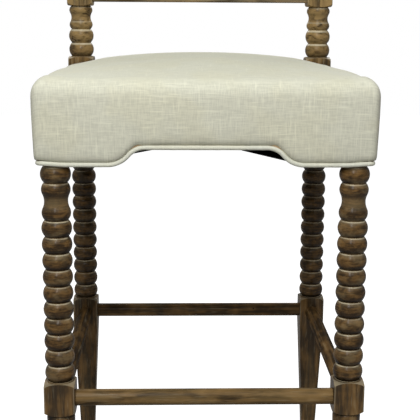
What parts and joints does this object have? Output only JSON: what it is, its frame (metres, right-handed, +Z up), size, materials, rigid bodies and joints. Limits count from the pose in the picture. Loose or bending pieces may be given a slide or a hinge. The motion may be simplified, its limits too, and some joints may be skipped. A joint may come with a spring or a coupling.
{
  "type": "bar chair",
  "caption": "Bar-height chair with bobbin-turned wooden legs and posts, round stretchers, a deep linen seat with a scalloped, piped front edge and a padded back panel.",
  "frame": {"origin": "on the floor, under the middle of the chair's outline in plan", "axes": "+Z up, +X to the left hand of a person sitting in the chair, -Y the way that person faces"},
  "size_m": [0.4756, 0.4818, 1.1336],
  "materials": {
    "show_wood": "weathered walnut brown with a pale limed wash in the turned grooves, satin",
    "frame_wood": "plain sawn hardwood, unfinished",
    "linen": "oatmeal linen with slubs",
    "filling": "upholstery foam and wadding",
    "webbing": "jute webbing and hessian",
    "black_cloth": "thin black dust cloth",
    "steel": "zinc-plated screws and staples",
    "glide_plastic": "dark nylon"
  },
  "bodies": {
    "root": {"front_leg_left": "show_wood", "front_leg_right": "show_wood", "rear_post_left": "show_wood", "rear_post_right": "show_wood", "front_stretcher": "show_wood", "rear_stretcher": "show_wood", "side_stretcher_left": "show_wood", "side_stretcher_right": "show_wood", "lower_back_rail": "show_wood", "top_back_rail": "show_wood", "foot_glides": "glide_plastic", "front_seat_rail": "frame_wood", "rear_seat_rail": "frame_wood", "side_seat_rail_left": "frame_wood", "side_seat_rail_right": "frame_wood", "corner_block_front_left": "frame_wood", "corner_block_front_right": "frame_wood", "corner_block_rear_left": "frame_wood", "corner_block_rear_right": "frame_wood", "corner_block_screws": "steel", "seat_rail_dowels": "frame_wood", "webbing_crosswise": "webbing", "webbing_lengthwise": "webbing", "seat_hessian": "webbing", "seat_foam": "filling", "front_rail_padding": "filling", "side_rail_padding_left": "filling", "side_rail_padding_right": "filling", "rear_rail_padding": "filling", "seat_cover": "linen", "seat_welt": "linen", "rear_welt": "linen", "dust_cover": "black_cloth", "dust_cover_staples": "steel", "back_board": "frame_wood", "back_foam": "filling", "back_cover": "linen", "back_welt": "linen", "outside_back": "linen"}
  },
  "joints": []
}
